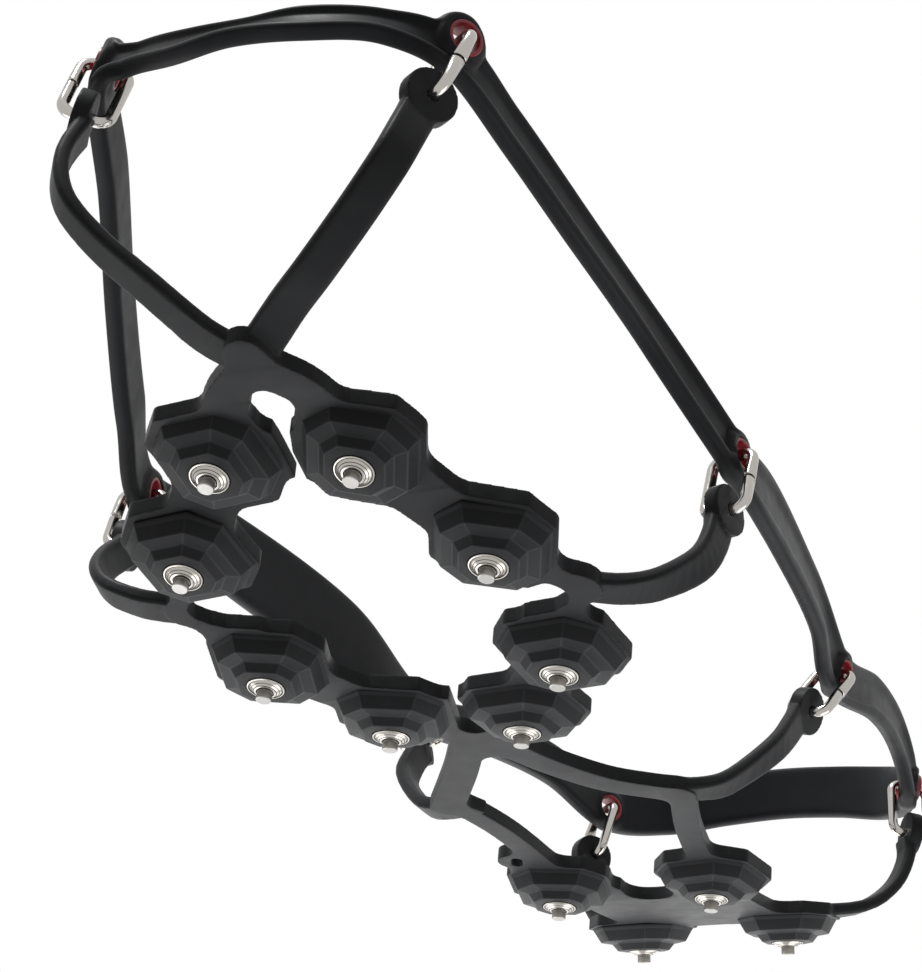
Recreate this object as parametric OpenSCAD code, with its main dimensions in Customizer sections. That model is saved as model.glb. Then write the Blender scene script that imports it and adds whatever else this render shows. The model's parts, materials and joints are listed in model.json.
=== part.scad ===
// Pull-on ice cleat: a moulded sole web with twelve studded lugs, hung from a
// stretch harness by eight wire rings. Toe towards -Y, ground at z = 0, millimetres.

/* [Overall] */
// Length between the middles of the band at toe and heel
harness_length = 313.5; // [295:0.5:335]
// Width between the eyelets beside the forefoot
eyelet_width = 116.3; // [108:0.1:125]

/* [Sole web] */
// Thickness of the moulded sole web
web_t = 3; // [2.4:0.1:3.6]
// Width of the straps that join the forefoot lugs
link_w = 12; // [9:0.5:14]
// Width of each strap of the toe hub
hub_w = 7.5; // [6.5:0.5:8.5]
// Width of the arms and of the straps that lead to them
strap_w = 7; // [6:0.5:8]
// Width of the straps to the heel
heel_strap_w = 5.4; // [4.8:0.2:6.6]
// Thickness of the arms outside the sole
strap_t = 2.8; // [2.2:0.1:3.2]
// Radius of the fillets where straps meet
fillet_r = 3.5; // [2:0.5:5]
// Radius of the web's outer corners
corner_r = 1.6; // [0.8:0.2:2.4]
// Width of the plate under the heel
heel_plate_w = 38; // [34:1:42]
// Width of the cove in the front of that plate, between the lugs
cove_w = 11; // [9:0.5:12]
// Diameter of the keyholes in front of and behind the forefoot
keyhole_d = 6; // [5:0.5:7]
// Width of the slots that lead out of the keyholes
keyhole_slot = 1.8; // [1.2:0.1:2.4]
// Diameter of the tab beside the heel
tab_d = 8.5; // [8:0.25:9.5]
// Width of the slot in that tab
tab_slot = 2.4; // [2:0.1:3]

/* [Lugs] */
// Width of a lug across its foot
lug_w = 20; // [18.5:0.5:21.5]
// Width of a lug below its step
lug_step_w = 17.4; // [16.4:0.2:18.2]
// Width of a lug above its step
lug_neck_w = 12.8; // [12:0.2:13.8]
// Width of a lug's flat end
lug_end_w = 10.4; // [9.5:0.1:11.4]
// Height of a lug below the web
lug_h = 5; // [4.5:0.25:6]
// Height of a lug up to its step
lug_step_h = 3; // [2.5:0.1:3.5]
// Ledge of the web round a lug's foot
lug_ledge = 1.3; // [0.8:0.1:1.8]
// Share of a lug's width that each corner cuts off
lug_corner = 0.23; // [0.18:0.01:0.29]

/* [Studs] */
// Diameter of a stud's flange
flange_d = 7.2; // [6.6:0.1:7.8]
// Thickness of a stud's flange
flange_t = 0.6; // [0.4:0.1:0.9]
// Depth of the seat that a flange sits in
flange_seat = 0.35; // [0.2:0.05:0.4]
// Diameter of a stud's shank
shank_d = 4.4; // [4:0.1:4.8]
// Length of a stud's shank below its flange
shank_l = 4.6; // [4:0.1:5.5]
// Height of a stud's cone above its flange
cone_h = 0.8; // [0.5:0.1:1.1]
// Diameter of a stud's cone at its top
cone_top_d = 4; // [3.7:0.1:4.4]
// Diameter of a carbide tip
tip_d = 3; // [2.6:0.1:3.2]
// Reach of a carbide tip beyond the lug's end
tip_reach = 2.8; // [2.4:0.1:3.2]
// Length of a carbide tip
tip_l = 5.4; // [4.8:0.1:6]
// Chamfer on the end of a carbide tip
tip_chamfer = 0.2; // [0.1:0.05:0.3]

/* [Rings] */
// Diameter of a ring's wire
wire_d = 2.2; // [1.8:0.1:2.6]
// Length of a ring between the middles of its short sides
ring_l = 14; // [13:0.5:16]
// Width of a ring between the middles of its long sides
ring_w = 8.6; // [8:0.2:10]
// Radius of a ring's corners at the middle of the wire
ring_bend_r = 2.3; // [1.8:0.1:2.6]
// Gap where a ring's wire ends meet
ring_gap = 0.5; // [0.2:0.1:1]
// Swing of a ring to each side
ring_swing = 5; // [3:0.5:6]

/* [Eyelets] */
// Diameter of the round head that ends each arm
head_d = 10; // [8:0.5:11]
// Clearance of the wire in an arm's eyelet
eyelet_clear = 0.08; // [0.04:0.01:0.1]
// Diameter of the harness's eyelet bosses
boss_d = 10.6; // [10:0.2:13]
// Thickness of the harness's eyelet bosses
boss_t = 4.4; // [3.8:0.1:4.8]
// Wall of the coloured eyelet liners
liner_wall = 0.8; // [0.6:0.1:1]
// Clearance of a swinging ring in its liner
swing_clear = 0.3; // [0.2:0.05:0.5]
// Fit of liners, studs and tips in their seats
seat_fit = 0.02; // [0.01:0.01:0.04]

/* [Harness] */
// Thickness of the harness band
band_t = 3.2; // [2.6:0.1:3.6]
// Height of the band round the toe
toe_band_h = 8; // [7:0.5:10]
// Drop of the band's middle below the eyelets at the toe
toe_drop = 3; // [2:0.5:4]
// Height of the band beside the forefoot
side_band_h = 10; // [8:0.5:12]
// Height of the side panels between the rings
panel_h = 16; // [12:0.5:18]
// Height of the band round the heel
heel_band_h = 13; // [10:0.5:16]

/* [Hidden] */
$fn = 48;

// Line of the sole seen from the side: place along the foot, and rise of the web's lower face
sole_line = [
    [-146, 24.5], [-128, 19.4], [-110, 15.6], [-88.7, 7.9], [-55.8, 1.9], [-38, 0], [-20, 0],
    [20, 0], [73, 0], [87, 0.9], [120.6, 6.7], [139, 13]
];
// Stud rows: name, place of the right and of the left stud, turn of the right and of the left lug
rows = [
    ["toe", [11.4, -106.4], [-15, -109], 22, -6], ["ball", [26.2, -82.4], [-30.2, -88.5], 22, -6],
    ["tread", [26.1, -48.5], [-30.9, -53.4], -6, 16], ["arch", [9.9, -26.8], [-15.9, -30.1], -6, 18],
    ["heel", [14.4, 70.4], [-20.5, 69.6], -8, 14], ["back", [15.4, 119.8], [-20.4, 121.2], 6, -6]
];
sides = [["right", 1], ["left", -1]];
function turn(row, s) = s > 0 ? row[3] : row[4];
// Eyelets in the arms' heads, from the web's flat: right foot side first, then left
corners = ["toe", "fore", "mid", "heel"];
eyelets_right = [[33.9, -138.6, 60.5], [54.3, -43.5, 28.1], [42, 46.9, 26.6], [40.3, 135, 31.4]];
eyelets_left = [[-29.2, -144.2, 65.3], [-62, -60, 27], [-46.6, 46.9, 26.6], [-40.3, 135, 31.4]];
// Way that each ring pulls, and the way that each eyelet faces
pull_right = [[0.2, 0.28, 0.94], [0, 0.3, 0.95], [0.3, 0.52, 0.8], [-0.12, 0.27, 0.95]];
pull_left = [[0.02, 0.33, 0.94], [0, 0.3, 0.95], [-0.3, 0.52, 0.8], [0.12, 0.27, 0.95]];
face_right = [[0.82, -0.52, 0], [0.97, -0.2, 0.06], [0.93, -0.2, -0.28], [0.8, 0.58, -0.07]];
face_left = [[-0.82, -0.52, 0.2], [-0.97, -0.2, 0.06], [-0.93, -0.2, -0.28], [-0.8, 0.58, -0.07]];
// Routes of the arms from the web to their heads, on the outer face: right ones, then two left ones
arm_routes = [
    [[2, -130, 20.3], [10.5, -136, 25], [17.5, -140.3, 28.7], [26, -144, 36.2], [32.1, -145.5, 44.2], [33.8, -143, 52.2]],
    [[37.6, -65, 3.7], [43.2, -62.4, 3.9], [49, -58.5, 6.4], [54, -51.5, 13.5], [55.2, -46.5, 21.5]],
    [[21, 21.5, 0.1], [27, 24.8, 0.7], [33, 28.2, 3.3], [40, 35, 12.5], [42, 41, 20]],
    [[19, 117, 6], [31, 126.5, 9.6], [37.6, 132.3, 16.5], [40.5, 135, 25]]
];
toe_route_left = [
    [0, -130, 20.3], [-6, -134.5, 23.2], [-14.5, -141, 30.2], [-22.3, -146.3, 37], [-28, -149.8, 44.5],
    [-30.3, -149.1, 54]
];
fore_route_left = [
    [-41, -71.8, 4.7], [-45, -73.3, 5], [-49, -74.4, 5.8], [-55.6, -74.8, 8.9], [-60, -72.6, 13.6],
    [-62, -68.6, 18.8], [-62.4, -64, 23.2]
];
// Straps in the plan of the web: the toe hub's, those behind the forefoot and those to the heel
hub_right = [[1.3, -131.5], [3.1, -127], [8, -120.5]];
hub_left = [[1.3, -131.5], [-0.9, -127], [-8, -120.5]];
junction = [-4, -13];
mid_right = [[-3, -14], [2, 0], [10, 13], [18, 19.5], [23, 22.3]];
mid_left = [[-7, -14], [-15, 1], [-21.5, 12], [-27, 21]];
heel_right = [[24.2, 23], [18.7, 42], [15, 62]];
heel_left = [[-24.2, 20], [-20.7, 38], [-19.7, 62]];
// Roots of the arms beside the forefoot and at the heel
fore_root_right = [[33, -68.5], [36, -66.8]];
fore_root_left = [[-34, -72], [-39, -72]];
heel_root_right = [23, 120.5];
heel_root_left = [-25, 121.6];
// Bow of the straps between the ball and the tread lugs
ball_bow = [4, 0];
// Keyholes in front and behind: the round hole, the neck and the end of the slot
toe_keyhole = [[0.1, -120.2], [-1.8, -108], [-1.8, -92]];
arch_keyhole = [[-3.5, -20], [-2, -33], [0.2, -43]];
// Notches that reach outwards between the ball and the tread lugs
notch_right = [
    [12, -73], [16.3, -73.4], [27.4, -68.7], [31.2, -69.8], [33.2, -67.6], [34, -65], [33, -63.2],
    [29.5, -61.1], [18.9, -59.9], [12, -59.6]
];
notch_left = [
    [-12, -76], [-22.9, -77.1], [-34.6, -75.8], [-37.4, -74.9], [-38.6, -73], [-38.4, -70.6],
    [-36.4, -68.4], [-33.8, -66.7], [-21.9, -63.4], [-12, -61.5]
];
// Round end of the cove in the heel plate, and the plate's front edge; tab beside the heel
cove_at = [-3, 77.7];
plate_back = 6;
tab_at = [-24.6, 54];
tab_turn = 20;
// Harness stations between the eyelets, on the middle of the band
toe_front = [[3, -150, 72.3]];
toe_right = [[15, -149.5, 72], [27, -144.5, 72.3]];
toe_left = [[-9, -148, 73.3], [-20, -144.5, 75.5]];
fore_right = [[39.5, -117, 66.5], [43.5, -96, 60], [47.5, -70, 53.5]];
fore_left = [[-38, -119, 69.5], [-47.5, -97, 59.5], [-56, -75, 49]];
panel_right = [[53, -10, 42.5], [50, 25, 41.5]];
panel_left = [[-60.5, -24, 42.5], [-55, 20, 42]];
rear_right = [[45.5, 86, 45], [42.5, 115, 48]];
rear_left = [[-48.4, 86, 45], [-44, 115, 48]];
heel_back = [[29, 154.5, 50], [15, 161.5, 54], [0, 163.5, 55.5], [-15, 161.5, 54], [-29, 154.5, 50]];
// Lean of the band over the toe, at its sides and round the heel
toe_lean = 38;
side_lean = 8;
heel_lean = 0;
// Middle of the whole cleat, which the frame's origin lies under
centre = [-3.85, 5.81];

// Stretch of the drawn places to the width and length asked for
stretch_x = eyelet_width / (eyelets_right[1][0] - eyelets_left[1][0]);
stretch_y = harness_length / (heel_back[2][1] - toe_front[0][1]);
function fit(p) =
    len(p) == 2 ? [p[0] * stretch_x, p[1] * stretch_y] : [p[0] * stretch_x, p[1] * stretch_y, p[2]];
function fit_all(list) = [for (p = list) fit(p)];

wire_r = wire_d / 2;
// Height of the web's flat above the ground
web_z = lug_h + tip_reach;
// Bore of a liner, wide enough for the ring's swing
liner_bore_r = wire_r + ring_l * sin(ring_swing) + swing_clear;
liner_r = liner_bore_r + liner_wall;

function unit(v) = v / norm(v);
function flat_to(v, n) = unit(v - (v * n) * n);
function mix(a, b, t) = a + (b - a) * t;
function ease(t) = t * t * (3 - 2 * t);

// Smooth curve through a list of points: value at place t between points i and i + 1
function cubic(a, b, c, d, t) =
    0.5 * (2 * b + (c - a) * t + (2 * a - 5 * b + 4 * c - d) * t * t + (3 * b - a - 3 * c + d) * t * t * t);
function open_curve(p, steps) = [
    for (i = [0:len(p) - 2], k = [0:steps - 1])
        cubic(
            i > 0 ? p[i - 1] : 2 * p[0] - p[1], p[i], p[i + 1],
            i + 2 < len(p) ? p[i + 2] : 2 * p[i + 1] - p[i], k / steps
        ),
    p[len(p) - 1]
];
function closed_curve(p, steps) = [
    for (i = [0:len(p) - 1], k = [0:steps - 1])
        cubic(
            p[(i + len(p) - 1) % len(p)], p[i], p[(i + 1) % len(p)], p[(i + 2) % len(p)], k / steps
        )
];

// Rise and slope of the sole line at a place along the foot
line_points = [for (p = open_curve(sole_line, 3)) [p[0] * stretch_y, max(0, p[1])]];
function rise(y) = lookup(y, line_points);
function slope(y) = (rise(y + 2) - rise(y - 2)) / 4;

// Places beside the foot
function spot(row, s) = fit(s > 0 ? row[1] : row[2]);
function eyelet(k, s) = fit(s > 0 ? eyelets_right[k] : eyelets_left[k]);
function pull(k, s) = unit(s > 0 ? pull_right[k] : pull_left[k]);
function facing(k, s) = flat_to(s > 0 ? face_right[k] : face_left[k], pull(k, s));
function ring_top(k, s) = eyelet(k, s) + ring_l * pull(k, s);
function mirrored(p) = [-p[0], p[1], p[2]];
// A left route is the right one's mirror, led over to its own eyelet
function arm_route(k, s) = concat(
    s < 0 && k < 2 ? fit_all(k == 0 ? toe_route_left : fore_route_left)
    : [for (i = [0:len(arm_routes[k]) - 1])
        fit(s > 0 ? arm_routes[k][i]
        : mirrored(arm_routes[k][i]) + min(1, i / 3) * (eyelets_left[k] - mirrored(eyelets_right[k])))],
    [eyelet(k, s)]
);

// Sweep of a closed section along stations, each [centre, across, outward, half width, half thickness]
section = [[-1, -0.55], [-0.86, -1], [0.86, -1], [1, -0.55], [1, 0.55], [0.86, 1], [-0.86, 1], [-1, 0.55]];
function sweep_points(st) = [
    for (q = st, c = section) q[0] + q[1] * (c[0] * q[3]) + q[2] * (c[1] * q[4])
];
function side_faces(n, closed) = [
    for (i = [0:n - (closed ? 1 : 2)], j = [0:7], half = [0, 1])
        let(a = i * 8 + j, b = i * 8 + (j + 1) % 8, c = ((i + 1) % n) * 8 + (j + 1) % 8, d = ((i + 1) % n) * 8 + j)
            half == 0 ? [a, b, c] : [a, c, d]
];
function end_faces(n) = [[for (j = [7:-1:0]) j], [for (j = [0:7]) (n - 1) * 8 + j]];
module sweep(st, closed = false) {
    polyhedron(
        points = sweep_points(st),
        faces = concat(side_faces(len(st), closed), closed ? [] : end_faces(len(st)))
    );
}

// Puts a shape's X across, Y along and Z outward at a place
module set_at(p, x, y, z)
    multmatrix([
        [x[0], y[0], z[0], p[0]], [x[1], y[1], z[1], p[1]], [x[2], y[2], z[2], p[2]], [0, 0, 0, 1]
    ]) children();
// From the web's flat to the cleat's own frame
module in_frame() translate([-centre[0] * stretch_x, -centre[1] * stretch_y, web_z]) children();
// At a stud's place: Z points out of the lug towards the ground, z = 0 on the lug's end
module at_stud(row, s) {
    p = spot(row, s);
    y = p[1];
    down = unit([0, slope(y), -1]);
    foot = [p[0], y, rise(y)];
    set_at(foot + down * lug_h, [1, 0, 0], cross(down, [1, 0, 0]), down) children();
}
// At a ring's lower end: X along the eyelet, Z towards the harness
module at_ring(k, s) {
    a = facing(k, s);
    u = pull(k, s);
    set_at(eyelet(k, s), a, cross(u, a), u) children();
}
// At an eyelet of the harness: Z along the eyelet
module at_boss(k, s) {
    a = facing(k, s);
    u = pull(k, s);
    set_at(ring_top(k, s), u, cross(a, u), a) children();
}

// A strap of even width along points of the plan
function left_of(p, i) =
    let(d = unit(p[min(i + 1, len(p) - 1)] - p[max(i - 1, 0)])) [-d[1], d[0]];
module plan_strap(points, w) {
    p = open_curve(points, 5);
    polygon(concat(
        [for (i = [0:len(p) - 1]) p[i] + left_of(p, i) * (w / 2)],
        [for (i = [len(p) - 1:-1:0]) p[i] - left_of(p, i) * (w / 2)]
    ));
    for (e = [points[0], points[len(points) - 1]])
        translate(e) circle(d = w, $fn = 16);
}
// Eight-cornered outline of a lug
function lug_outline(w) =
    let(h = w / 2, c = h - lug_corner * w)
        [[h, -c], [h, c], [c, h], [-c, h], [-h, c], [-h, -c], [-c, -h], [c, -h]];

module web_plan() {
    toe = rows[0];
    ball = rows[1];
    tread = rows[2];
    arch = rows[3];
    heel = rows[4];
    back = rows[5];
    heel_mid = (spot(heel, 1) + spot(heel, -1)) / 2;
    back_mid = (spot(back, 1) + spot(back, -1)) / 2;
    plate_y = heel_mid[1] + plate_back;
    offset(r = corner_r, $fn = 24) offset(r = -fillet_r - corner_r, $fn = 24) offset(r = fillet_r, $fn = 24) {
        for (s = [-1, 1]) {
            bow = (spot(ball, s) + spot(tread, s)) / 2 + s * ball_bow;
            plan_strap(concat(fit_all(s > 0 ? hub_right : hub_left), [spot(toe, s)]), hub_w);
            plan_strap([spot(toe, s), spot(ball, s)], link_w);
            plan_strap([spot(ball, s), bow, spot(tread, s)], link_w - 1);
            plan_strap([spot(tread, s), spot(arch, s)], link_w);
            plan_strap([spot(arch, s), fit(junction)], link_w - 2);
            for (r = rows)
                translate(spot(r, s)) rotate(turn(r, s)) polygon(lug_outline(lug_w + 2 * lug_ledge));
            plan_strap(fit_all(s > 0 ? fore_root_right : fore_root_left), strap_w + 2);
            plan_strap([spot(back, s), fit(s > 0 ? heel_root_right : heel_root_left)], strap_w + 1);
        }
        plan_strap(fit_all(mid_right), strap_w);
        plan_strap(fit_all(mid_left), strap_w);
        plan_strap(concat(fit_all(heel_right), [spot(heel, 1)]), heel_strap_w);
        plan_strap(concat(fit_all(heel_left), [spot(heel, -1)]), heel_strap_w);
        translate([back_mid[0] - heel_plate_w / 2, plate_y]) square([heel_plate_w, back_mid[1] - plate_y]);
        translate(fit(tab_at)) circle(d = tab_d, $fn = 24);
    }
}
// Keyhole between two lugs, open to the middle of the forefoot
module keyhole(places) {
    at = fit(places[0]);
    neck = fit(places[1]);
    end = fit(places[2]);
    r = keyhole_d / 2;
    h = keyhole_slot / 2;
    translate(at) circle(r = r, $fn = 24);
    polygon([at - [r, 0], at + [r, 0], neck + [h, 0], end + [h, 0], end - [h, 0], neck - [h, 0]]);
}
// Notches between the ball and the tread lugs, with rounded ends
module notches() {
    offset(r = corner_r, $fn = 24) offset(delta = -corner_r) {
        polygon(fit_all(notch_right));
        polygon(fit_all(notch_left));
    }
}
// Cove in the front of the heel plate, and the slot in the tab beside the heel
module heel_holes() {
    translate(fit(tab_at)) rotate(tab_turn) {
        square([tab_slot, tab_slot], center = true);
        for (e = [-0.5, 0.5])
            translate([0, e * tab_slot]) circle(d = tab_slot, $fn = 20);
    }
    translate(fit(cove_at)) {
        circle(d = cove_w, $fn = 40);
        translate([-cove_w / 2, -2 * cove_w]) square([cove_w, 2 * cove_w]);
    }
}
// The web's plan, bent along the sole line
module web_sheet() {
    upper = [for (i = [len(line_points) - 1:-1:0]) line_points[i] + [0, web_t]];
    intersection() {
        linear_extrude(harness_length, center = true) difference() {
            web_plan();
            keyhole(toe_keyhole);
            keyhole(arch_keyhole);
            notches();
            heel_holes();
        }
        rotate([90, 0, 90]) linear_extrude(2 * eyelet_width, center = true) polygon(concat(line_points, upper));
    }
}
// Stepped lug, from just inside the web to its flat end
module lug_solid() {
    foot_z = -lug_h + 0.2;
    step_z = -lug_h + lug_step_h;
    levels = [
        [lug_w, -lug_h - 0.6 * web_t], [lug_w, foot_z], [lug_step_w, step_z],
        [lug_neck_w, step_z + 0.4], [lug_end_w, 0]
    ];
    n = len(levels);
    polyhedron(
        points = [for (v = levels, q = lug_outline(v[0])) [q[0], q[1], v[1]]],
        faces = concat(
            [[for (j = [0:7]) j], [for (j = [7:-1:0]) (n - 1) * 8 + j]],
            [for (i = [0:n - 2], j = [0:7])
                [i * 8 + j, (i + 1) * 8 + j, (i + 1) * 8 + (j + 1) % 8, i * 8 + (j + 1) % 8]]
        )
    );
}
// Seat for a stud in a lug's end
module stud_seat() {
    translate([0, 0, -flange_seat]) cylinder(d = flange_d + 0.3, h = 2);
    translate([0, 0, -flange_seat - shank_l - 0.05]) cylinder(d = shank_d + 2 * seat_fit, h = shank_l + 2);
}
// Stations of an arm: it leaves the web flat and turns to face as its eyelet does
function arm_stations(k, s) =
    let(
        p = open_curve(arm_route(k, s), 4),
        n = len(p),
        a = facing(k, s)
    ) [
        for (i = [0:n - 1])
            let(
                along = unit(p[min(i + 1, n - 1)] - p[max(i - 1, 0)]),
                out = flat_to(mix([0, slope(p[0][1]), -1], a, ease(i / (n - 1))), along)
            )
                [p[i] - out * (i == n - 1 ? 0 : strap_t / 2), cross(along, out), out, strap_w / 2, strap_t / 2]
    ];
module arm(k, s) {
    sweep(arm_stations(k, s));
    at_ring(k, s) rotate([0, 90, 0]) cylinder(d = head_d, h = web_t, center = true, $fn = 28);
}

module sole_web() {
    color("#26272a") in_frame() difference() {
        union() {
            web_sheet();
            for (r = rows, s = [-1, 1])
                at_stud(r, s) rotate(-turn(r, s)) lug_solid();
            for (k = [0:3], s = [-1, 1])
                arm(k, s);
        }
        for (r = rows, s = [-1, 1])
            at_stud(r, s) stud_seat();
        for (k = [0:3], s = [-1, 1])
            at_ring(k, s) rotate([0, 90, 0]) cylinder(r = wire_r + eyelet_clear, h = 3 * web_t, center = true);
    }
}

// Stations of the harness: [place, band height, lean], once round from the toe's middle
function band(list, h, lean) = [for (p = fit_all(list)) concat(p, [h, lean])];
function tops(k, s, h, drop = 0) = [concat(ring_top(k, s) - drop * pull(k, s), [h, asin(facing(k, s)[2])])];
function reversed(v) = [for (i = [len(v) - 1:-1:0]) v[i]];
harness_points = concat(
    band(toe_front, toe_band_h, toe_lean), band(toe_right, toe_band_h, 0.7 * toe_lean),
    tops(0, 1, toe_band_h, toe_drop), band(fore_right, side_band_h, side_lean), tops(1, 1, side_band_h),
    band(panel_right, panel_h, side_lean), tops(2, 1, side_band_h),
    band(rear_right, side_band_h, heel_lean), tops(3, 1, side_band_h),
    band(heel_back, heel_band_h, heel_lean), tops(3, -1, side_band_h),
    band(reversed(rear_left), side_band_h, heel_lean), tops(2, -1, side_band_h),
    band(reversed(panel_left), panel_h, side_lean), tops(1, -1, side_band_h),
    band(reversed(fore_left), side_band_h, side_lean), tops(0, -1, toe_band_h, toe_drop),
    band(reversed(toe_left), toe_band_h, 0.7 * toe_lean)
);
function harness_stations() =
    let(c = closed_curve(harness_points, 3), n = len(c), p = [for (q = c) [q[0], q[1], q[2]]]) [
        for (i = [0:n - 1])
            let(
                along = unit(p[(i + 1) % n] - p[(i + n - 1) % n]),
                side = unit(cross(along, [0, 0, 1])),
                out = flat_to(side * cos(c[i][4]) + [0, 0, sin(c[i][4])], along)
            )
                [p[i], cross(along, out), out, c[i][3] / 2, band_t / 2]
    ];

module harness() {
    color("#1f2023") in_frame() difference() {
        union() {
            sweep(harness_stations(), true);
            for (k = [0:3], s = [-1, 1])
                at_boss(k, s) cylinder(d = boss_d, h = boss_t, center = true);
        }
        for (k = [0:3], s = [-1, 1])
            at_boss(k, s) cylinder(r = liner_r + seat_fit, h = 4 * band_t, center = true);
    }
}

module stud(row, s) {
    color("#b9babc") in_frame() at_stud(row, s) translate([0, 0, -flange_seat]) difference() {
        rotate_extrude() polygon([
            [0, -shank_l], [shank_d / 2, -shank_l], [shank_d / 2, 0], [flange_d / 2, 0],
            [flange_d / 2, flange_t], [flange_d / 2 - 0.6, flange_t + 0.1], [cone_top_d / 2 + 0.5, flange_t + 0.5 * cone_h],
            [cone_top_d / 2, flange_t + cone_h], [0, flange_t + cone_h]
        ]);
        translate([0, 0, flange_seat + tip_reach - tip_l]) cylinder(d = tip_d + 2 * seat_fit, h = tip_l);
    }
}

module tip(row, s) {
    color("#8c8a86") in_frame() at_stud(row, s) translate([0, 0, tip_reach - tip_l]) rotate_extrude() polygon([
        [0, 0], [tip_d / 2, 0], [tip_d / 2, tip_l - tip_chamfer], [tip_d / 2 - tip_chamfer, tip_l], [0, tip_l]
    ]);
}

// Bent wire ring in its own XZ plane, with its lower side on the X axis
module ring(k, s) {
    straight_x = ring_w - 2 * ring_bend_r;
    straight_z = ring_l - 2 * ring_bend_r;
    color("#c9cacb") in_frame() at_ring(k, s) difference() {
        union() {
            for (z = [0, ring_l])
                translate([-straight_x / 2, 0, z]) rotate([0, 90, 0]) cylinder(r = wire_r, h = straight_x);
            for (x = [-1, 1])
                translate([x * ring_w / 2, 0, ring_bend_r]) cylinder(r = wire_r, h = straight_z);
            for (q = [[1, 0, 270], [1, 1, 0], [-1, 1, 90], [-1, 0, 180]])
                translate([q[0] * straight_x / 2, 0, ring_bend_r + q[1] * straight_z])
                    rotate([90, 0, 0]) rotate([0, 0, q[2]])
                        rotate_extrude(angle = 90) translate([ring_bend_r, 0]) circle(r = wire_r);
        }
        translate([ring_w / 2, 0, ring_l / 2]) cube([wire_d * 1.5, wire_d * 1.5, ring_gap], center = true);
    }
}

module liner(k, s) {
    color("#9a1f2a") in_frame() at_boss(k, s) difference() {
        cylinder(r = liner_r, h = boss_t, center = true);
        cylinder(r = liner_bore_r, h = 2 * boss_t, center = true);
    }
}

sole_web();
harness();
for (r = rows, s = sides) {
    stud(r, s[1]);
    tip(r, s[1]);
}
for (k = [0:3], s = sides) {
    ring(k, s[1]);
    liner(k, s[1]);
}
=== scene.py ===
import json
import math

import bpy
import numpy as np
from mathutils import Matrix, Vector


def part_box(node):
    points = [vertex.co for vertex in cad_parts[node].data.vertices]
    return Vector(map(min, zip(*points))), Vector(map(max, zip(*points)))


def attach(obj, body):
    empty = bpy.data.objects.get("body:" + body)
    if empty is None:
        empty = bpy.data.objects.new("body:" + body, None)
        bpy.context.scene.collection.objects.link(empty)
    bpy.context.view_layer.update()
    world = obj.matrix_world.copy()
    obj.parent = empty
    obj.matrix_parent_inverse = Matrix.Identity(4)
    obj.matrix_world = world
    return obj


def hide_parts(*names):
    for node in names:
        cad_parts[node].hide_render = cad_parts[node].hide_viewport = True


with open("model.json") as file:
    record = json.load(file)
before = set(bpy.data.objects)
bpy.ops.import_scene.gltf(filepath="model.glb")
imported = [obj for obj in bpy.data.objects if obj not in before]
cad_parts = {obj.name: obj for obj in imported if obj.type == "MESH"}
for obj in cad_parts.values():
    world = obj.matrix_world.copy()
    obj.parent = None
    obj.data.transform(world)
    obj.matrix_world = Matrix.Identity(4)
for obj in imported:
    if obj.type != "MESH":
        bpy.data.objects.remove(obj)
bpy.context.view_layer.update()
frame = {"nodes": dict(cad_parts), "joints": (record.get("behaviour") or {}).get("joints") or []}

MM = 0.001
CLEAT = "cleat"
ROWS = ["toe", "ball", "tread", "arch", "heel", "back"]
CORNERS = ["toe", "fore", "mid", "heel"]
SIDES = ["right", "left"]
LUGS = [(row, side) for row in ROWS for side in SIDES]
EYELETS = [(corner, side) for corner in CORNERS for side in SIDES]

# Distances in metres under which points are joined
WELD = 1e-6
FINE_WELD = 1e-7

# Sole web: fineness of its new mesh, rounds of smoothing all over and on the arms, and triangles kept
WEB_OCTREE = 10
WEB_ROUNDS = 5
ARM_ROUNDS = 28
WEB_FACES = 180000
# Millimetres over the sole line, and from an eyelet, where the arms' smoothing starts and is full
ARM_CLEAR = (2.8, 4.5)
HEAD_CLEAR = (4.5, 8.0)
WEIGHT_LEVELS = 10

# Lugs, in millimetres: widths from the foot to the end, heights, and rounding of the edges
LUG_FOOT = 20.2
LUG_STEP = 17.6
LUG_NECK = 13.0
LUG_END = 10.6
LUG_HEIGHT = 5.0
LUG_STEP_HEIGHT = 3.0
LUG_LEDGE_FALL = 0.4
LUG_PROUD = 0.03
LUG_EDGE = 0.4
# Share of a lug's width that is cut off each corner
LUG_CORNER = 0.23
# Soft foot of a lug: how much wider than the foot, and how far over the web
LUG_SKIRT = [(0.9, -0.4), (0.5, 0.15), (0, 0.5)]
# Turn of the right and of the left lug of each row, in degrees
LUG_TURNS = {
    "toe": (22, -6),
    "ball": (22, -6),
    "tread": (-6, 16),
    "arch": (-6, 18),
    "heel": (-8, 14),
    "back": (6, -6),
}

# Studs and carbide tips, in millimetres
FLANGE_D = 7.2
FLANGE_SEAT = 0.35
SEAT_CLEAR = 0.2
SHANK_D = 4.4
SHANK_END = -4.9
SHANK_CHAMFER = 0.2
RIM_CHAMFER = 0.05
# Face of a stud from its rim to its collar: inset from the rim, and height over the lug's end
STUD_FACE = [
    (0, 0.16), (0.06, 0.25), (0.26, 0.29), (0.33, 0.15), (0.43, 0.15), (0.52, 0.34), (0.84, 0.58), (0.87, 0.48),
    (0.95, 0.48), (0.98, 0.62), (1.32, 0.90), (1.36, 0.80), (1.45, 0.80), (1.49, 0.96), (1.68, 1.05),
]
# Grooves in that face, painted dark as shade: inset from the rim where each starts and ends, and margin of the
# innermost
STUD_GROOVES = [(0.28, 0.44), (0.845, 0.975), (1.33, 1.48)]
GROOVE_MARGIN = 0.01
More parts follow.
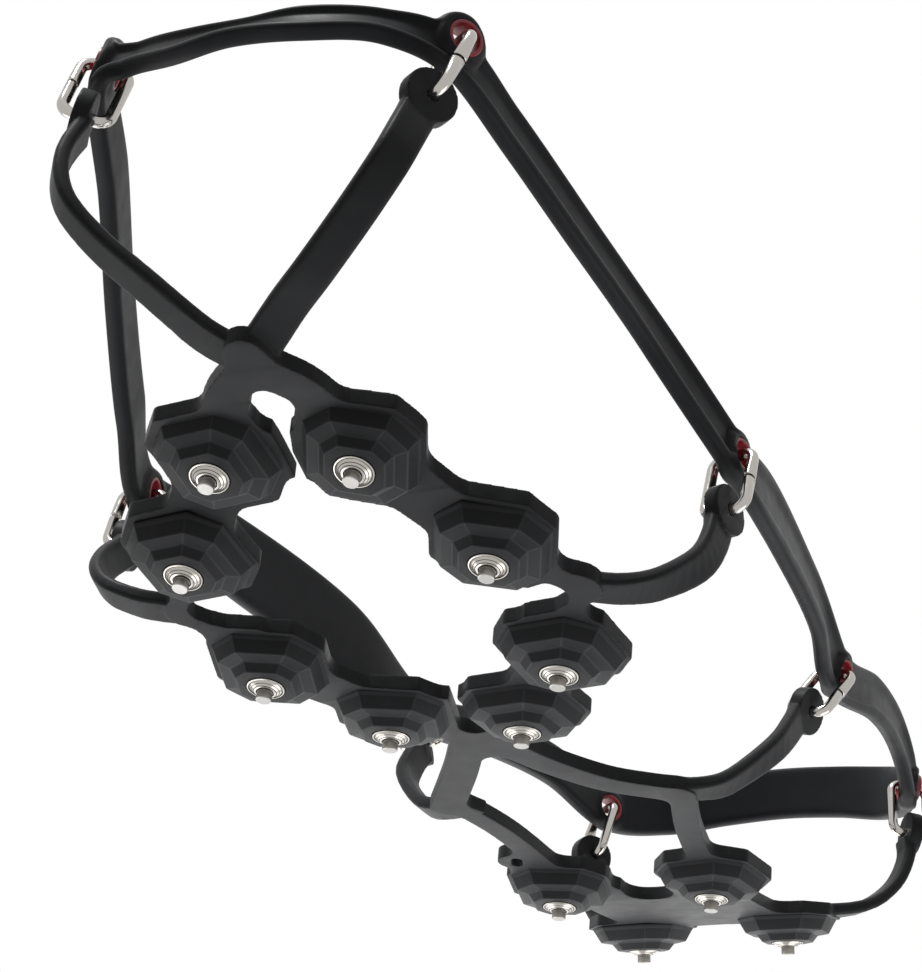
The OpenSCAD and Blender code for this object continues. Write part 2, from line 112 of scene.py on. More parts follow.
# Collar round the tip: its play, height, and the width, slope and floor of the groove inside it
COLLAR_PLAY = 0.02
COLLAR_TOP = 1.05
COLLAR_GROOVE = 0.22
COLLAR_SLOPE = 0.05
COLLAR_FLOOR = 0.70
TIP_D = 3.0
TIP_REACH = 2.8
TIP_LENGTH = 5.4
# Chamfer of a tip's end, and the point that rounds it: depth into the side, and fall from the end
TIP_CHAMFER = 0.2
TIP_ROUND = (0.06, 0.08)
# Fine line round a tip: points as depth into its side and height over the lug's end
TIP_LINE = [(0, 1.2), (0.04, 1.25), (0.04, 1.32), (0, 1.37)]

# Rings and eyelets, in millimetres
WIRE_D = 2.2
RING_WIDTH = 8.6
RING_BEND = 2.3
RING_GAP = 0.5
BEND_STEPS = 12
# Rounded cut ends: their length, and the share of the wire's width that is left at the very end
CUT_LENGTH = 0.25
CUT_WIDTH = 0.84
# How much the legs are flattened, and the distances from a ring's end where that starts and is full
LEG_SPREAD = 0.25
LEG_CLEAR = (2.5, 5.0)
EYELET_CLEAR = 0.08
EYELET_DRILL = 12
LINER_R = 3.42
LINER_BORE_R = 2.62
LINER_PLAY = 0.01
LIP = 0.35
LIP_SIDE = 0.1
LIP_DEPTH = 0.08
BOSS_D = 10.6
BOSS_T = 4.4
# How far the raised disc of an eyelet fades inside and outside its rim
DISC_INSIDE = 1.0
DISC_OUTSIDE = 0.2

# Middle of the web's flat, in millimetres, from which the places below are measured
WEB_FLAT = Vector((3.85, -5.81, 7.8))
# Line of the sole seen from the side: place along the foot, and rise of the web's lower face
SOLE_LINE = [
    (-146, 24.5), (-128, 19.4), (-110, 15.6), (-88.7, 7.9), (-55.8, 1.9), (-38, 0), (-20, 0),
    (20, 0), (73, 0), (87, 0.9), (120.6, 6.7), (139, 13),
]
# Harness stations between the eyelets
TOE_FRONT = [(3, -150, 72.3)]
TOE_RIGHT = [(15, -149.5, 72), (27, -144.5, 72.3)]
TOE_LEFT = [(-9, -148, 73.3), (-20, -144.5, 75.5)]
FORE_RIGHT = [(39.5, -117, 66.5), (43.5, -96, 60), (47.5, -70, 53.5)]
FORE_LEFT = [(-38, -119, 69.5), (-47.5, -97, 59.5), (-56, -75, 49)]
PANEL_RIGHT = [(53, -10, 42.5), (50, 25, 41.5)]
PANEL_LEFT = [(-60.5, -24, 42.5), (-55, 20, 42)]
REAR_RIGHT = [(45.5, 86, 45), (42.5, 115, 48)]
REAR_LEFT = [(-48.4, 86, 45), (-44, 115, 48)]
HEEL_BACK = [(29, 154.5, 50), (15, 161.5, 54), (0, 163.5, 55.5), (-15, 161.5, 54), (-29, 154.5, 50)]
# Heights of the band in millimetres, its lean in degrees, and how far it passes under the toe's eyelets
TOE_BAND, SIDE_BAND, PANEL, HEEL_BAND = 8, 10, 16, 13
TOE_LEAN, SIDE_LEAN, HEEL_LEAN = 38, 8, 0
TOE_SIDE_LEAN = 0.7 * TOE_LEAN
TOE_DROP = 3.0
# Section of the band: share of its half height, and millimetres outwards
BAND_SECTION = [
    (-1.0, -0.5), (-1.0, 0.9), (-0.93, 1.5), (-0.76, 1.8), (-0.58, 1.6), (-0.46, 0.8), (-0.2, 0.6),
    (0.4, 0.6), (0.58, 0.9), (0.72, 1.45), (0.88, 1.5), (1.0, 0.9), (1.0, -0.6), (0.88, -1.5),
    (0.4, -1.6), (-0.4, -1.6), (-0.88, -1.5),
]
# Share of the half height past which the band's edge keeps its own shape
BAND_EDGE = 0.97
BAND_STEPS = 30
SECTION_STEPS = 3
# Distance in bosses within which a station sees an eyelet, and a distance that no eyelet reaches
EYELET_NEAR = 1.25
NO_EYELET = 99.0

# Stage in metres, and the light of the white surroundings
FLOOR_SIZE = 6
FLOOR_DEPTH = -0.0002
FLOOR_FADE = (0.35, 1.1)
AMBIENT = 0.09
LAMP_AIM = Vector((0, 0, 0.03))

# The photograph's camera
CAMERA_PLACE = (0.21775, -0.49643, -0.20042)
CAMERA_RIGHT = (0.916, 0.3935, 0.0782)
CAMERA_UP = (0.1133, -0.4407, 0.8905)
SENSOR_WIDTH = 36
FOCAL_PIXELS = 2883
PHOTO_HEIGHT = 972


# Small helpers
def object_mode():
    if bpy.context.object and bpy.context.object.mode != "OBJECT":
        bpy.ops.object.mode_set(mode="OBJECT")


def start():
    object_mode()
    bpy.ops.object.select_all(action="DESELECT")


def pick(piece):
    start()
    piece.select_set(True)
    bpy.context.view_layer.objects.active = piece


def edit(piece):
    pick(piece)
    bpy.ops.object.mode_set(mode="EDIT")
    bpy.ops.mesh.select_all(action="SELECT")


def weld(piece, distance):
    """Joins points that meet and turns all faces outwards."""
    edit(piece)
    bpy.ops.mesh.remove_doubles(threshold=distance)
    bpy.ops.mesh.normals_make_consistent(inside=False)
    object_mode()


def added(name):
    """Names the object that was just added."""
    piece = bpy.context.object
    piece.name = name
    piece.data.name = name
    return piece


def new_object(name, data):
    piece = bpy.data.objects.new(name, data)
    bpy.context.scene.collection.objects.link(piece)
    return piece


def finish_modifier(piece, kind, **settings):
    pick(piece)
    modifier = piece.modifiers.new(kind.lower(), kind)
    for key, value in settings.items():
        setattr(modifier, key, value)
    bpy.ops.object.modifier_apply(modifier=modifier.name)


def cut_away(piece, cutter):
    finish_modifier(piece, "BOOLEAN", operation="DIFFERENCE", object=cutter, solver="EXACT")
    bpy.data.objects.remove(cutter)


def drill(name, vertices, radius, depth, place):
    """Cylinder to cut a hole with, in millimetres, at a place with Z along the hole."""
    start()
    bpy.ops.mesh.primitive_cylinder_add(vertices=vertices, radius=radius * MM, depth=depth * MM)
    cutter = added(name)
    cutter.data.transform(place)
    return cutter


def joined(pieces):
    start()
    for piece in pieces:
        piece.select_set(True)
    bpy.context.view_layer.objects.active = pieces[0]
    bpy.ops.object.join()
    return pieces[0]


def smooth(piece, angle):
    pick(piece)
    bpy.ops.object.shade_smooth_by_angle(angle=math.radians(angle))


def placed_copy(piece, name, place):
    copy = new_object(name, piece.data.copy())
    copy.data.name = name
    copy.data.transform(place)
    return copy


def from_axes(x, y, z, place):
    turn = Matrix((x, y, z)).transposed().to_4x4()
    return Matrix.Translation(place) @ turn


def vertex_places(mesh):
    values = np.zeros(len(mesh.vertices) * 3, np.float32)
    mesh.vertices.foreach_get("co", values)
    return values.reshape(-1, 3)


def soft_step(value, low, high):
    share = np.clip((value - low) / (high - low), 0, 1)
    return share * share * (3 - 2 * share)


# Places taken from the frame
def box_middle(name):
    low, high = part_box(name)
    return (low + high) / 2


def stud_place(row, side):
    """A lug's end: Z out of the lug along the carbide tip, X across the foot."""
    mesh = frame["nodes"][f"tip_{row}_{side}"].data
    points = np.unique(vertex_places(mesh).astype(float).round(7), axis=0)
    middle = points.mean(0)
    axis = np.linalg.svd(points - middle, full_matrices=False)[2][0]
    axis = axis if axis[2] < 0 else -axis
    ground_end = ((points - middle) @ axis).max()
    down = Vector(axis)
    across = (Vector((1, 0, 0)) - down * down.x).normalized()
    place = Vector(middle) + down * (ground_end - TIP_REACH * MM)
    return from_axes(across, down.cross(across), down, place)


def eyelet(corner, side):
    """Place of an arm's eyelet, the way it faces, and the way its ring pulls."""
    joint = next(j for j in frame["joints"] if j["child"] == f"ring_{corner}_{side}")
    place = Vector(joint["pos_m"])
    facing = Vector(joint["axis"]).normalized()
    return place, facing, box_middle(f"liner_{corner}_{side}") - place


def bore_place(place, facing):
    """A place with Z along a bore."""
    return Matrix.Translation(place) @ facing.to_track_quat("Z", "Y").to_matrix().to_4x4()


def arm_bore(corner, side):
    place, facing, _ = eyelet(corner, side)
    return bore_place(place, facing)


def harness_bore(corner, side):
    _, facing, _ = eyelet(corner, side)
    return bore_place(box_middle(f"liner_{corner}_{side}"), facing)


# Materials
def new_material(name):
    material = bpy.data.materials.new(name)
    material.use_nodes = True
    tree = material.node_tree
    return material, tree.nodes, tree.links, tree.nodes["Principled BSDF"]


def noise(nodes, links, coords, scale, detail):
    texture = nodes.new("ShaderNodeTexNoise")
    texture.inputs["Scale"].default_value = scale
    texture.inputs["Detail"].default_value = detail
    links.new(coords.outputs["Object"], texture.inputs["Vector"])
    return texture


def ramp(nodes, links, source, low, high):
    colours = nodes.new("ShaderNodeValToRGB")
    for element, position, colour in zip(colours.color_ramp.elements, (0.3, 0.7), (low, high)):
        element.position = position
        element.color = colour
    links.new(source.outputs["Fac"], colours.inputs["Fac"])
    return colours


def grey(value):
    return (value, value, value, 1)


def bump(nodes, links, source, shader, strength, depth):
    relief = nodes.new("ShaderNodeBump")
    relief.inputs["Strength"].default_value = strength
    relief.inputs["Distance"].default_value = depth
    links.new(source.outputs["Fac"], relief.inputs["Height"])
    links.new(relief.outputs["Normal"], shader.inputs["Normal"])


def maximum(nodes, links, first, second):
    larger = nodes.new("ShaderNodeMath")
    larger.operation = "MAXIMUM"
    links.new(first, larger.inputs[0])
    links.new(second, larger.inputs[1])
    return larger.outputs[0]


def moulded_rubber(name, dark, light, shine):
    """Satin black elastomer: cloudy tone, uneven gloss and a fine moulded grain."""
    material, nodes, links, shader = new_material(name)
    coords = nodes.new("ShaderNodeTexCoord")
    cloud = noise(nodes, links, coords, scale=90, detail=5)
    tone = ramp(nodes, links, cloud, dark, light)
    links.new(tone.outputs["Color"], shader.inputs["Base Color"])
    smear = noise(nodes, links, coords, scale=240, detail=4)
    gloss = ramp(nodes, links, smear, grey(0.38), grey(0.46))
    links.new(gloss.outputs["Color"], shader.inputs["Roughness"])
    grain = noise(nodes, links, coords, scale=2600, detail=2)
    bump(nodes, links, grain, shader, strength=0.12, depth=0.0001)
    shader.inputs["Specular IOR Level"].default_value = shine
    return material


def bright_metal(name, colour, rough_low, rough_high, scratch_scale, scratch):
    """Metal with uneven polish and fine scratches."""
    material, nodes, links, shader = new_material(name)
    coords = nodes.new("ShaderNodeTexCoord")
    shader.inputs["Base Color"].default_value = colour
    shader.inputs["Metallic"].default_value = 1.0
    smear = noise(nodes, links, coords, scale=500, detail=4)
    gloss = ramp(nodes, links, smear, grey(rough_low), grey(rough_high))
    links.new(gloss.outputs["Color"], shader.inputs["Roughness"])
    marks = noise(nodes, links, coords, scale=scratch_scale, detail=4)
    bump(nodes, links, marks, shader, strength=scratch, depth=0.00005)
    return material


def red_plastic(name):
    """Plain red with a slightly cloudy tone."""
    material, nodes, links, shader = new_material(name)
    coords = nodes.new("ShaderNodeTexCoord")
    cloud = noise(nodes, links, coords, scale=300, detail=3)
    tone = ramp(nodes, links, cloud, (0.26, 0.012, 0.02, 1), (0.38, 0.02, 0.03, 1))
    links.new(tone.outputs["Color"], shader.inputs["Base Color"])
    shader.inputs["Roughness"].default_value = 0.38
    return material


web_rubber = moulded_rubber("web_rubber", (0.043, 0.044, 0.046, 1), (0.053, 0.054, 0.057, 1), 0.05)
# Paler rubber for the lugs' bevelled edges: a painted highlight along every rounded edge.
painted_edge_highlight = moulded_rubber("painted_edge_highlight", (0.066, 0.068, 0.071, 1), (0.079, 0.081, 0.085, 1), 0.05)
harness_rubber = moulded_rubber("harness_rubber", (0.027, 0.028, 0.030, 1), (0.036, 0.037, 0.040, 1), 0.06)
ring_steel = bright_metal("ring_steel", (0.43, 0.41, 0.385, 1), 0.12, 0.22, 3000, 0.03)
stud_steel = bright_metal("stud_steel", (0.41, 0.392, 0.36, 1), 0.18, 0.30, 5000, 0.06)
# Dark steel for the stud's turning grooves and the groove inside its collar: painted shade in those recesses.
stud_painted_shade = bright_metal("stud_painted_shade", (0.11, 0.104, 0.094, 1), 0.40, 0.55, 5000, 0.06)
carbide_side = bright_metal("carbide_side", (0.24, 0.226, 0.205, 1), 0.40, 0.55, 6000, 0.10)
carbide_end = bright_metal("carbide_end", (0.30, 0.294, 0.282, 1), 0.30, 0.42, 7000, 0.08)
liner_red = red_plastic("liner_red")


def dress(piece, material, node=None, body=CLEAT):
    """Gives a piece its material and body, and hides the node that it stands for."""
    if not piece.data.materials:
        piece.data.materials.append(material)
    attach(piece, body)
    if node:
        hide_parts(node)


# Sole web and its lugs
def mark_arms(piece):
    """Weights the arms where they stand clear of the web, short of their heads."""
    places = vertex_places(piece.data) / MM - np.array(WEB_FLAT)
    line = np.array(SOLE_LINE)
    weight = soft_step(places[:, 2] - np.interp(places[:, 1], line[:, 0], line[:, 1]), *ARM_CLEAR)
    for corner, side in EYELETS:
        head = np.array(eyelet(corner, side)[0] / MM - WEB_FLAT)
        weight *= soft_step(np.linalg.norm(places - head, axis=1), *HEAD_CLEAR)
    group = piece.vertex_groups.new(name="arms")
    for level in range(1, WEIGHT_LEVELS + 1):
        picked = np.flatnonzero(np.round(weight * WEIGHT_LEVELS) == level)
        group.add(picked.tolist(), level / WEIGHT_LEVELS, "REPLACE")


def sole_web_moulding():
    """The moulded web: the CAD solid in a new mesh, its edges softened and its arms smoothed."""
    piece = placed_copy(frame["nodes"]["sole_web"], "sole_web_moulding", Matrix.Identity(4))
    piece.data.materials.clear()
    edit(piece)
    bpy.ops.mesh.remove_doubles(threshold=WELD)
    object_mode()
    finish_modifier(
        piece, "REMESH", mode="SHARP", octree_depth=WEB_OCTREE, scale=0.99, sharpness=1.0,
        use_remove_disconnected=False,
    )
    finish_modifier(piece, "SMOOTH", factor=0.5, iterations=WEB_ROUNDS)
    mark_arms(piece)
    finish_modifier(piece, "SMOOTH", factor=0.5, iterations=ARM_ROUNDS, vertex_group="arms")
    faces = 2 * len(piece.data.polygons)
    finish_modifier(piece, "DECIMATE", ratio=min(1.0, WEB_FACES / faces))
    radius = WIRE_D / 2 + EYELET_CLEAR
    drills = [drill("drill", 32, radius, EYELET_DRILL, arm_bore(corner, side)) for corner, side in EYELETS]
    cut_away(piece, joined(drills))
    smooth(piece, 40)
    return piece


def lug_moulding():
    """One stepped eight-cornered lug with soft edges painted paler as a highlight, and a seat for its stud, Z
    out of its end.
    """
    step_top = LUG_STEP_HEIGHT - LUG_HEIGHT
    levels = [(LUG_FOOT + spread, rise - LUG_HEIGHT) for spread, rise in LUG_SKIRT]
    levels += [(LUG_STEP, step_top), (LUG_NECK, step_top + LUG_LEDGE_FALL), (LUG_END, LUG_PROUD)]
    start()
    width, height = levels[0]
    bpy.ops.mesh.primitive_plane_add(size=width * MM, location=(0, 0, 0))
    piece = added("lug_moulding")
    piece.data.materials.append(web_rubber)
    piece.data.materials.append(painted_edge_highlight)
    piece.data.transform(Matrix.Translation((0, 0, height * MM)))
    edit(piece)
    bpy.ops.mesh.bevel(offset=LUG_CORNER * width * MM, affect="VERTICES")
    for new_width, new_height in levels[1:]:
        rise = (new_height - height) * MM
        bpy.ops.mesh.extrude_region_move(TRANSFORM_OT_translate={"value": (0, 0, rise)})
        ratio = new_width / width
        bpy.ops.transform.resize(value=(ratio, ratio, 1), center_override=(0, 0, 0))
        width, height = new_width, new_height
    bpy.ops.mesh.select_all(action="SELECT")
    bpy.ops.mesh.normals_make_consistent(inside=False)
    bpy.ops.mesh.select_all(action="DESELECT")
    bpy.ops.mesh.select_mode(type="EDGE")
    bpy.ops.mesh.edges_select_sharp(sharpness=math.radians(6))
    # The edge bevels take the paler second material: a painted highlight on the rounded edges.
    bpy.ops.mesh.bevel(offset=LUG_EDGE * MM, segments=3, profile=0.5, clamp_overlap=True, material=1)
    object_mode()
    cut_away(piece, drill("seat", 64, FLANGE_D / 2 + SEAT_CLEAR, 2 * FLANGE_SEAT, Matrix.Identity(4)))
    smooth(piece, 30)
    return piece


dress(sole_web_moulding(), web_rubber, "sole_web")
lug = lug_moulding()
for row in ROWS:
    for side, turn in zip(SIDES, LUG_TURNS[row]):
        place = stud_place(row, side) @ Matrix.Rotation(math.radians(-turn), 4, "Z")
        dress(placed_copy(lug, f"lug_{row}_{side}", place), web_rubber)
bpy.data.objects.remove(lug)


# Studs and carbide tips
def turned(name, profile, steps):
    """Spins a profile of (radius, height) points, in millimetres, round Z."""
    mesh = bpy.data.meshes.new(name)
    points = [(radius * MM, 0, height * MM) for radius, height in profile]
    mesh.from_pydata(points, [(i, i + 1) for i in range(len(points) - 1)], [])
    piece = new_object(name, mesh)
    edit(piece)
    bpy.ops.mesh.spin(steps=steps, angle=2 * math.pi, center=(0, 0, 0), axis=(0, 0, 1))
    weld(piece, FINE_WELD)
    smooth(piece, 28)
    return piece


def stud_body():
    """Turned stud: flange in its seat, a cone with turning grooves painted dark as shade, and a collar round
    the tip.
    """
    rim = FLANGE_D / 2
    shank = SHANK_D / 2
    collar = TIP_D / 2 + COLLAR_PLAY
    base = TIP_REACH - TIP_LENGTH
    profile = [
        (0, SHANK_END), (shank - SHANK_CHAMFER, SHANK_END), (shank, SHANK_END + SHANK_CHAMFER),
        (shank, -FLANGE_SEAT), (rim - RIM_CHAMFER, -FLANGE_SEAT), (rim, -FLANGE_SEAT + RIM_CHAMFER),
    ]
    profile += [(rim - inset, height) for inset, height in STUD_FACE]
    profile += [
        (collar + COLLAR_GROOVE, COLLAR_TOP), (collar + COLLAR_GROOVE - COLLAR_SLOPE, COLLAR_FLOOR),
        (collar, COLLAR_FLOOR), (collar, base), (0, base),
    ]
    piece = turned("stud_body", profile, 64)
    piece.data.materials.append(stud_steel)
    piece.data.materials.append(stud_painted_shade)
    # Faces in the turning grooves and in the collar's groove take the dark steel as painted shade.
    grooves = STUD_GROOVES + [(rim - collar - COLLAR_GROOVE + GROOVE_MARGIN, rim - collar)]
    for face in piece.data.polygons:
        inset = rim - math.hypot(face.center.x, face.center.y) / MM
        dark = face.center.z > 0 and any(low < inset < high for low, high in grooves)
        face.material_index = 1 if dark else 0
    return piece


def carbide_tip():
    """Ground carbide pin with a fine line round it, a small chamfer and a bright flat end."""
    radius = TIP_D / 2
    base = TIP_REACH - TIP_LENGTH
    profile = [(0, base), (radius, base)]
    profile += [(radius - depth, height) for depth, height in TIP_LINE]
    profile += [
        (radius, TIP_REACH - TIP_CHAMFER), (radius - TIP_ROUND[0], TIP_REACH - TIP_ROUND[1]),
        (radius - TIP_CHAMFER, TIP_REACH), (0, TIP_REACH),
    ]
    piece = turned("carbide_tip", profile, 48)
    piece.data.materials.append(carbide_side)
    piece.data.materials.append(carbide_end)
    for face in piece.data.polygons:
        face.material_index = 1 if face.center.z > (TIP_REACH - TIP_CHAMFER / 2) * MM else 0
    return piece


stud = stud_body()
tip = carbide_tip()
for row, side in LUGS:
    place = stud_place(row, side)
    turned_stud = placed_copy(stud, f"turned_stud_{row}_{side}", place)
    dress(turned_stud, stud_steel, f"stud_{row}_{side}")
    ground_tip = placed_copy(tip, f"carbide_tip_{row}_{side}", place)
    dress(ground_tip, carbide_side, f"tip_{row}_{side}")
bpy.data.objects.remove(stud)
bpy.data.objects.remove(tip)


# Harness
def curve_through(points, steps):
    """Smooth closed curve through rows of numbers."""
    rows = [np.array(p, float) for p in points]
    count = len(rows)
    out = []
    for i in range(count):
        a, b, c, d = (rows[(i + k) % count] for k in (-1, 0, 1, 2))
        for k in range(steps):
            t = k / steps
            bend = (2 * a - 5 * b + 4 * c - d) * t**2 + (3 * b - a - 3 * c + d) * t**3
            out.append(0.5 * (2 * b + (c - a) * t + bend))
    return out


def band_rows(points, height, lean):
    return [(*(Vector(p) + WEB_FLAT), height, lean) for p in points]


def eyelet_row(corner, side, height):
    _, facing, pull = eyelet(corner, side)
    drop = TOE_DROP if corner == "toe" else 0
    middle = box_middle(f"liner_{corner}_{side}") / MM - pull.normalized() * drop
    return [(*middle, height, math.degrees(math.asin(facing.z)))]


def harness_rows():
    """Once round the harness from the toe's middle: place, height and lean of the band."""
    return (
        band_rows(TOE_FRONT, TOE_BAND, TOE_LEAN) + band_rows(TOE_RIGHT, TOE_BAND, TOE_SIDE_LEAN)
        + eyelet_row("toe", "right", TOE_BAND) + band_rows(FORE_RIGHT, SIDE_BAND, SIDE_LEAN)
        + eyelet_row("fore", "right", SIDE_BAND) + band_rows(PANEL_RIGHT, PANEL, SIDE_LEAN)
        + eyelet_row("mid", "right", SIDE_BAND) + band_rows(REAR_RIGHT, SIDE_BAND, HEEL_LEAN)
        + eyelet_row("heel", "right", SIDE_BAND) + band_rows(HEEL_BACK, HEEL_BAND, HEEL_LEAN)
        + eyelet_row("heel", "left", SIDE_BAND) + band_rows(REAR_LEFT[::-1], SIDE_BAND, HEEL_LEAN)
        + eyelet_row("mid", "left", SIDE_BAND) + band_rows(PANEL_LEFT[::-1], PANEL, SIDE_LEAN)
        + eyelet_row("fore", "left", SIDE_BAND) + band_rows(FORE_LEFT[::-1], SIDE_BAND, SIDE_LEAN)
        + eyelet_row("toe", "left", TOE_BAND) + band_rows(TOE_LEFT[::-1], TOE_BAND, TOE_SIDE_LEAN)
    )


def evened(values, rounds):
    for _ in range(rounds):
        values = (np.roll(values, 1) + 2 * values + np.roll(values, -1)) / 4
    return values


def band_frames(stations):
    """At each station: the way along the band, the way up its face and the way outwards."""
    places = stations[:, :3]
    steps = np.roll(places, -1, axis=0) - np.roll(places, 1, axis=0)
    frames = []
    for step, lean in zip(steps, np.radians(stations[:, 4])):
        ahead = Vector(step).normalized()
        side = ahead.cross(Vector((0, 0, 1))).normalized()
        out = side * math.cos(lean) + Vector((0, 0, math.sin(lean)))
        out = (out - ahead * out.dot(ahead)).normalized()
        up = out.cross(ahead)
        frames.append((ahead, up if up.z > 0 else -up, out))
    return [np.array(axis) for axis in zip(*frames)]


def band_shape(stations, along, up):
    """Reach of the band above and below each station, and the nearest eyelet seen from there."""
    radius = BOSS_D / 2
    above = stations[:, 3] / 2
    below = stations[:, 3] / 2
    holes = np.full((len(stations), 2), NO_EYELET)
    for corner, side in EYELETS:
        away = np.array(box_middle(f"liner_{corner}_{side}")) / MM - stations[:, :3]
        ahead, higher = (away * along).sum(1), (away * up).sum(1)
        near = np.linalg.norm(away, axis=1) < EYELET_NEAR * BOSS_D
        cover = np.sqrt(np.maximum(radius**2 - ahead**2, 0))
        hit = near & (cover > 0)
        above = np.where(hit, np.maximum(above, cover + higher), above)
        below = np.where(hit, np.maximum(below, cover - higher), below)
        holes[near] = np.stack((ahead, higher), 1)[near]
    return evened(above, 2), evened(below, 2), holes


def harness_moulding():
    """The harness as one ring-shaped skin: a grid that follows the stations, with a disc at each eyelet."""
    stations = np.array(curve_through(harness_rows(), BAND_STEPS))
    section = np.array(curve_through(BAND_SECTION, SECTION_STEPS))
    along, up, out = band_frames(stations)
    above, below, holes = band_shape(stations, along, up)
    count, around = len(stations), len(section)
    start()
    bpy.ops.mesh.primitive_grid_add(x_subdivisions=around, y_subdivisions=count, size=1)
    piece = added("harness_moulding")
    share, outward = section[:, 0], section[:, 1]
    flat = np.where(outward > 0, BOSS_T / 2, -BOSS_T / 2)
    for i in range(count + 1):
        k = i % count
        height = np.where(share > 0, share * above[k], share * below[k])
        from_hole = np.hypot(holes[k][0], height - holes[k][1])
        disc = 1 - soft_step(from_hole, BOSS_D / 2 - DISC_INSIDE, BOSS_D / 2 + DISC_OUTSIDE)
        disc = np.where(np.abs(share) > BAND_EDGE, 0, disc)
        depth = outward + (flat - outward) * disc
        points = stations[k][:3] + np.outer(height, up[k]) + np.outer(depth, out[k])
        for j in range(around + 1):
            piece.data.vertices[i * (around + 1) + j].co = points[j % around] * MM
    weld(piece, WELD)
    radius = LINER_R + LINER_PLAY
    bores = [drill("bore", 48, radius, 4 * BOSS_T, harness_bore(corner, side)) for corner, side in EYELETS]
    cut_away(piece, joined(bores))
    smooth(piece, 40)
    return piece


dress(harness_moulding(), harness_rubber, "harness")


# Eyelet liners
def eyelet_liner():
    """Red bush with rounded lips at both ends."""
    half = BOSS_T / 2
    lip = [
        (LINER_R, half - LIP), (LINER_R - LIP_SIDE, half - LIP_DEPTH), (LINER_R - LIP, half),
        (LINER_BORE_R + LIP, half), (LINER_BORE_R + LIP_SIDE, half - LIP_DEPTH), (LINER_BORE_R, half - LIP),
    ]
    lower = [(radius, -height) for radius, height in lip]
    return turned("eyelet_liner", lower + lip[::-1] + lower[:1], 48)


liner = eyelet_liner()
for corner, side in EYELETS:
    bush = placed_copy(liner, f"eyelet_liner_{corner}_{side}", harness_bore(corner, side))
    dress(bush, liner_red, f"liner_{corner}_{side}")
bpy.data.objects.remove(liner)


# Wire rings
def ring_path(length):
    """Middle of a ring's wire in its XZ plane, from one side of the butt gap to the other, in millimetres."""
    half = RING_WIDTH / 2
    gap_low = (length - RING_GAP) / 2
    gap_high = (length + RING_GAP) / 2
    path = [(half, gap_high), (half, gap_high + CUT_LENGTH)]
    bends = [
        (half - RING_BEND, length - RING_BEND, 0), (-half + RING_BEND, length - RING_BEND, 90),
        (-half + RING_BEND, RING_BEND, 180), (half - RING_BEND, RING_BEND, 270),
    ]
    for x, z, start_angle in bends:
        for k in range(BEND_STEPS + 1):
            angle = math.radians(start_angle + 90 * k / BEND_STEPS)
            path.append((x + RING_BEND * math.cos(angle), z + RING_BEND * math.sin(angle)))
    return path + [(half, gap_low - CUT_LENGTH), (half, gap_low)]


def wire_ring(name, corner, side):
    """Bent wire with slightly flattened legs and rounded cut ends."""
    place, facing, pull = eyelet(corner, side)
    path = ring_path(pull.length / MM)
    data = bpy.data.curves.new(name, "CURVE")
    data.dimensions = "3D"
    data.bevel_depth = WIRE_D / 2 * MM
    data.bevel_resolution = 8
    data.use_fill_caps = True
    spline = data.splines.new("POLY")
    spline.points.add(len(path) - 1)
    for point, (x, z) in zip(spline.points, path):
        point.co = (x * MM, 0, z * MM, 1)
    spline.points[0].radius = CUT_WIDTH
    spline.points[-1].radius = CUT_WIDTH
    pick(new_object(name, data))
    bpy.ops.object.convert(target="MESH")
    piece = bpy.context.object
    for vertex in piece.data.vertices:
        from_end = min(vertex.co.z, pull.length - vertex.co.z) / MM
        vertex.co.y *= 1 + LEG_SPREAD * soft_step(from_end, *LEG_CLEAR)
    up = pull.normalized()
    piece.data.transform(from_axes(facing, up.cross(facing), up, place))
    weld(piece, FINE_WELD)
    smooth(piece, 40)
    return piece


for corner, side in EYELETS:
    ring = wire_ring(f"wire_ring_{corner}_{side}", corner, side)
    dress(ring, ring_steel, f"ring_{corner}_{side}", f"ring_{corner}_{side}")


# Floor, light and camera
def pale_floor():
    """Pale floor under the tips, only for the camera above it: keeps the shadow and fades to white far out."""
    start()
    bpy.ops.mesh.primitive_plane_add(size=FLOOR_SIZE, location=(0, 0, FLOOR_DEPTH))
    floor = added("floor")
    material, nodes, links, shader = new_material("pale_floor")
    shader.inputs["Base Color"].default_value = grey(0.82)
    shader.inputs["Roughness"].default_value = 0.8
    ray = nodes.new("ShaderNodeLightPath")
    face = nodes.new("ShaderNodeNewGeometry")
    unseen = nodes.new("ShaderNodeMath")
    unseen.operation = "SUBTRACT"
    unseen.inputs[0].default_value = 1.0
    links.new(ray.outputs["Is Camera Ray"], unseen.inputs[1])
    hidden = maximum(nodes, links, unseen.outputs[0], face.outputs["Backfacing"])
    coords = nodes.new("ShaderNodeTexCoord")
    far = nodes.new("ShaderNodeVectorMath")
    far.operation = "LENGTH"
    links.new(coords.outputs["Object"], far.inputs[0])
    fade = nodes.new("ShaderNodeMapRange")
    fade.inputs["From Min"].default_value, fade.inputs["From Max"].default_value = FLOOR_FADE
    links.new(far.outputs["Value"], fade.inputs["Value"])
    white = nodes.new("ShaderNodeEmission")
    ground = nodes.new("ShaderNodeMixShader")
    links.new(fade.outputs["Result"], ground.inputs["Fac"])
    links.new(shader.outputs["BSDF"], ground.inputs[1])
    links.new(white.outputs["Emission"], ground.inputs[2])
    clear = nodes.new("ShaderNodeBsdfTransparent")
    mixed = nodes.new("ShaderNodeMixShader")
    links.new(hidden, mixed.inputs["Fac"])
    links.new(ground.outputs["Shader"], mixed.inputs[1])
    links.new(clear.outputs["BSDF"], mixed.inputs[2])
    links.new(mixed.outputs["Shader"], nodes["Material Output"].inputs["Surface"])
    floor.data.materials.append(material)


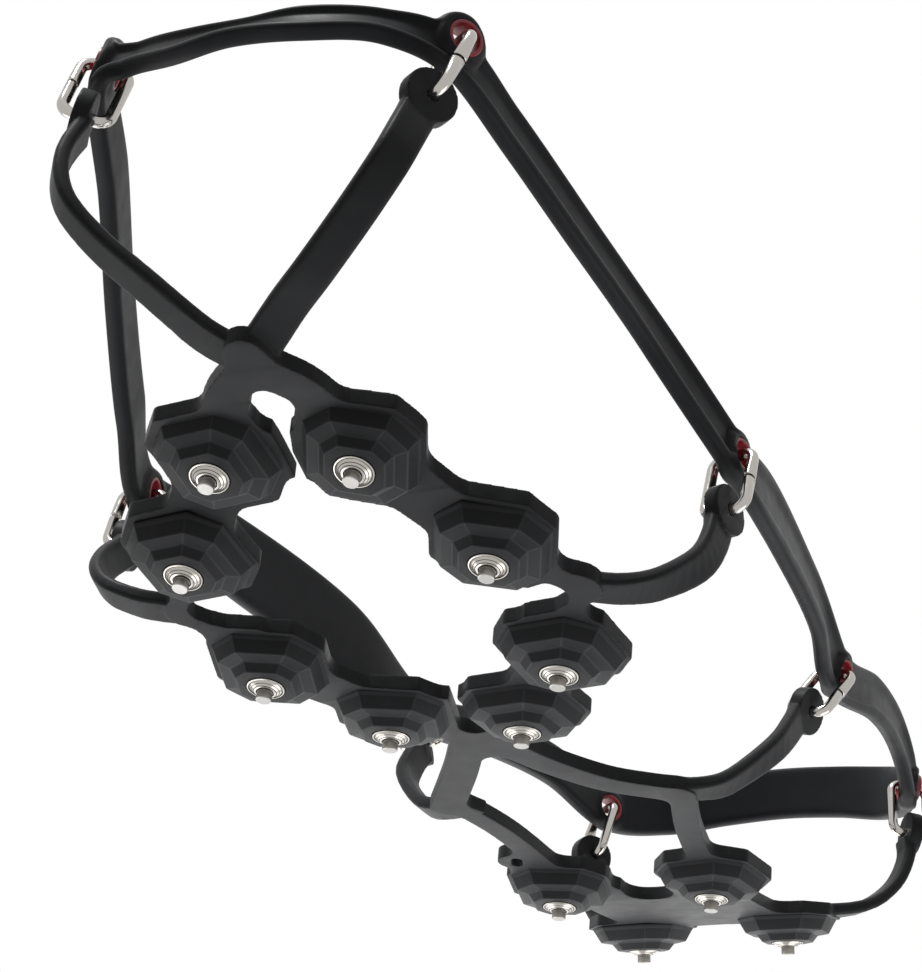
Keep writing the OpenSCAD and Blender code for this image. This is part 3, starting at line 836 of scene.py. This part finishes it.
def white_world():
    """White to the camera and in reflections, a plain grey as light."""
    world = bpy.data.worlds.new("studio")
    bpy.context.scene.world = world
    world.use_nodes = True
    nodes, links = world.node_tree.nodes, world.node_tree.links
    backdrop = nodes["Background"]
    backdrop.inputs["Color"].default_value = grey(1)
    ray = nodes.new("ShaderNodeLightPath")
    seen = ray.outputs["Is Camera Ray"]
    for name in ("Is Glossy Ray", "Is Transmission Ray"):
        seen = maximum(nodes, links, seen, ray.outputs[name])
    strength = nodes.new("ShaderNodeMapRange")
    strength.inputs["To Min"].default_value = AMBIENT
    strength.inputs["To Max"].default_value = 1.0
    links.new(seen, strength.inputs["Value"])
    links.new(strength.outputs["Result"], backdrop.inputs["Strength"])


def soft_lamp(name, place, size, power):
    data = bpy.data.lights.new(name, "AREA")
    data.size = size
    data.energy = power
    lamp = new_object(name, data)
    lamp.location = place
    lamp.rotation_euler = (LAMP_AIM - Vector(place)).to_track_quat("-Z", "Y").to_euler()


def sun_lamp(name, place, strength, spread):
    data = bpy.data.lights.new(name, "SUN")
    data.energy = strength
    data.angle = math.radians(spread)
    lamp = new_object(name, data)
    lamp.rotation_euler = (-Vector(place)).to_track_quat("-Z", "Y").to_euler()


def photo_camera():
    data = bpy.data.cameras.new("camera")
    data.sensor_width = SENSOR_WIDTH
    data.lens = FOCAL_PIXELS * SENSOR_WIDTH / PHOTO_HEIGHT
    data.clip_start = 0.01
    camera = new_object("camera", data)
    right = Vector(CAMERA_RIGHT).normalized()
    back = right.cross(Vector(CAMERA_UP)).normalized()
    camera.matrix_world = from_axes(right, back.cross(right), back, CAMERA_PLACE)
    bpy.context.scene.camera = camera


pale_floor()
white_world()
soft_lamp("low_right", (0.5, 0.4, -0.7), size=0.8, power=4.6)
soft_lamp("low_left", (-0.7, 0.15, -0.63), size=0.8, power=5.5)
soft_lamp("low_rear", (-0.3, 0.8, -0.34), size=0.9, power=2.6)
sun_lamp("overhead", (-0.2, -0.25, 1), strength=2.5, spread=15)
photo_camera()
bpy.context.scene.view_settings.view_transform = "Standard"
